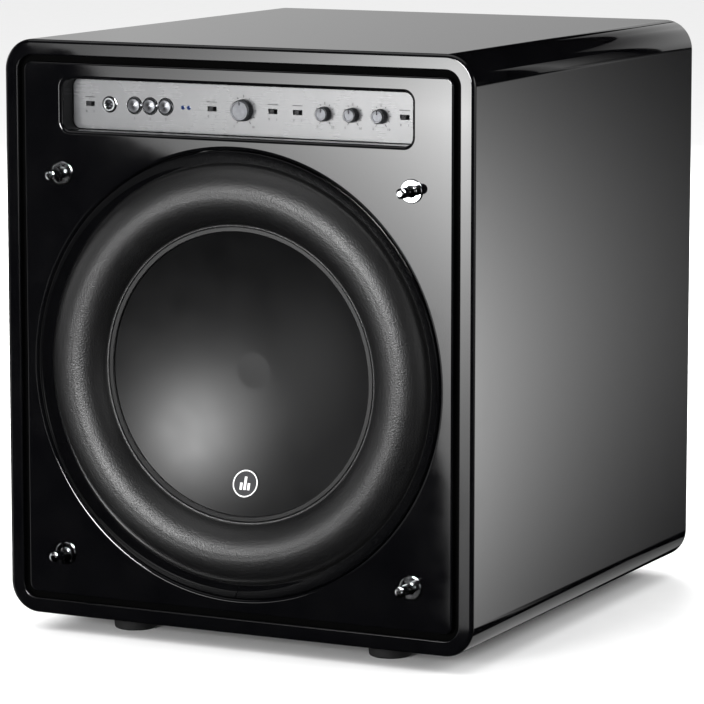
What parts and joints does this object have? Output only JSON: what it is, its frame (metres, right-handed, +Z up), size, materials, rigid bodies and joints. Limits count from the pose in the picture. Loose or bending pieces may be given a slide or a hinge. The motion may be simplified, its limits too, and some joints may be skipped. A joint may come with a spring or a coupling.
{
  "type": "subwoofer",
  "caption": "Gloss black powered subwoofer: sealed cabinet, one large long-throw driver, recessed control panel along the top of the front, grille studs and a plate amplifier behind.",
  "frame": {"origin": "on the floor under the middle of the whole part, studs and heatsink included", "axes": "+X to the right seen from the front, -Y towards the listener, +Z up"},
  "size_m": [0.419, 0.486, 0.486],
  "materials": {
    "black_anodised": "satin",
    "black_steel": "satin",
    "brass": "plated",
    "brushed_aluminium": "brushed",
    "chrome": "polished",
    "copper_wire": "wound",
    "ferrite": "matte",
    "fibreboard": "raw",
    "film": "satin",
    "foam_rubber": "speckled matte",
    "glass_epoxy": "satin",
    "gloss_lacquer": "gloss",
    "gloss_plastic": "gloss",
    "indicator_lens": "clear tinted",
    "moulded_plastic": "satin",
    "rubber": "matte",
    "treated_cloth": "woven",
    "zinc_steel": "plated"
  },
  "bodies": {
    "cabinet": {"amplifier_board": "glass_epoxy", "amplifier_plate": "black_anodised", "amplifier_screws": "black_steel", "board_standoffs": "zinc_steel", "button_switches": "moulded_plastic", "cabinet_shell": "gloss_lacquer", "capacitors": "moulded_plastic", "control_board": "glass_epoxy", "control_housing": "moulded_plastic", "control_plate": "brushed_aluminium", "driver_bolts": "black_steel", "driver_frame": "black_steel", "driver_gasket": "foam_rubber", "foot_screws": "zinc_steel", "front_baffle": "gloss_lacquer", "grille_studs": "chrome", "heatsink": "black_anodised", "horizontal_braces": "fibreboard", "indicator_lights": "indicator_lens", "inlet_pins": "brass", "line_input_sockets": "black_steel", "magnet": "ferrite", "mains_inlet": "moulded_plastic", "microphone_socket": "chrome", "phono_sockets": "brass", "potentiometers": "moulded_plastic", "rear_panel": "gloss_lacquer", "rubber_feet": "rubber", "slide_switch_bodies": "moulded_plastic", "spider": "treated_cloth", "surround": "foam_rubber", "top_plate": "zinc_steel", "transformer": "copper_wire", "trim_ring": "gloss_plastic", "vertical_brace": "fibreboard", "yoke": "zinc_steel"},
    "cone_assembly": {"cone": "gloss_plastic", "cone_badge": "moulded_plastic", "coil_former": "film", "voice_coil": "copper_wire"},
    "level_control": {"level_knob": "brushed_aluminium", "level_shaft": "zinc_steel"},
    "frequency_control": {"frequency_knob": "brushed_aluminium", "frequency_shaft": "zinc_steel"},
    "trim_control": {"trim_knob": "brushed_aluminium", "trim_shaft": "zinc_steel"},
    "phase_control": {"phase_knob": "brushed_aluminium", "phase_shaft": "zinc_steel"},
    "power_switch": {"power_switch_tab": "moulded_plastic"},
    "level_mode_switch": {"level_mode_switch_tab": "moulded_plastic"},
    "lights_switch": {"lights_switch_tab": "moulded_plastic"},
    "filter_switch": {"filter_switch_tab": "moulded_plastic"},
    "polarity_switch": {"polarity_switch_tab": "moulded_plastic"},
    "ground_switch": {"ground_switch_tab": "moulded_plastic"},
    "demo_press_piece": {"demo_button": "brushed_aluminium"},
    "defeat_press_piece": {"defeat_button": "brushed_aluminium"},
    "calibrate_press_piece": {"calibrate_button": "brushed_aluminium"},
    "left_latch": {"left_latch_tab": "zinc_steel"},
    "right_latch": {"right_latch_tab": "zinc_steel"},
    "fuse_holder": {"fuse_drawer": "moulded_plastic"}
  },
  "joints": [
    {"name": "cone_travel", "type": "slide", "parent": "cabinet", "child": "cone_assembly", "axis": [0, -1, 0], "range_m": [-0.02, 0.02], "stiffness_N_per_m": 6000, "deforming": ["surround", "spider"]},
    {"name": "level_turn", "type": "hinge", "parent": "cabinet", "child": "level_control", "pos_m": [0, -0.203, 0.43425], "axis": [0, 1, 0], "range_deg": [-150, 150]},
    {"name": "frequency_turn", "type": "hinge", "parent": "cabinet", "child": "frequency_control", "pos_m": [0.072, -0.203, 0.43425], "axis": [0, 1, 0], "range_deg": [-150, 150]},
    {"name": "trim_turn", "type": "hinge", "parent": "cabinet", "child": "trim_control", "pos_m": [0.0965, -0.203, 0.43425], "axis": [0, 1, 0], "range_deg": [-150, 150]},
    {"name": "phase_turn", "type": "hinge", "parent": "cabinet", "child": "phase_control", "pos_m": [0.121, -0.203, 0.43425], "axis": [0, 1, 0], "range_deg": [-150, 150]},
    {"name": "power_slide", "type": "slide", "parent": "cabinet", "child": "power_switch", "axis": [1, 0, 0], "range_m": [-0.0021, 0.0021]},
    {"name": "level_mode_slide", "type": "slide", "parent": "cabinet", "child": "level_mode_switch", "axis": [1, 0, 0], "range_m": [-0.0021, 0.0021]},
    {"name": "lights_slide", "type": "slide", "parent": "cabinet", "child": "lights_switch", "axis": [1, 0, 0], "range_m": [-0.0021, 0.0021]},
    {"name": "filter_slide", "type": "slide", "parent": "cabinet", "child": "filter_switch", "axis": [1, 0, 0], "range_m": [-0.0021, 0.0021]},
    {"name": "polarity_slide", "type": "slide", "parent": "cabinet", "child": "polarity_switch", "axis": [1, 0, 0], "range_m": [-0.0021, 0.0021]},
    {"name": "ground_slide", "type": "slide", "parent": "cabinet", "child": "ground_switch", "axis": [1, 0, 0], "range_m": [-0.0021, 0.0021]},
    {"name": "demo_press", "type": "slide", "parent": "cabinet", "child": "demo_press_piece", "axis": [0, 1, 0], "range_m": [0, 0.0015], "stiffness_N_per_m": 300},
    {"name": "defeat_press", "type": "slide", "parent": "cabinet", "child": "defeat_press_piece", "axis": [0, 1, 0], "range_m": [0, 0.0015], "stiffness_N_per_m": 300},
    {"name": "calibrate_press", "type": "slide", "parent": "cabinet", "child": "calibrate_press_piece", "axis": [0, 1, 0], "range_m": [0, 0.0015], "stiffness_N_per_m": 300},
    {"name": "left_latch_press", "type": "slide", "parent": "cabinet", "child": "left_latch", "axis": [0, -1, 0], "range_m": [0, 0.0015], "stiffness_N_per_m": 300},
    {"name": "right_latch_press", "type": "slide", "parent": "cabinet", "child": "right_latch", "axis": [0, -1, 0], "range_m": [0, 0.0015], "stiffness_N_per_m": 300},
    {"name": "fuse_drawer_slide", "type": "slide", "parent": "cabinet", "child": "fuse_holder", "axis": [0, 1, 0], "range_m": [0, 0.015]}
  ]
}
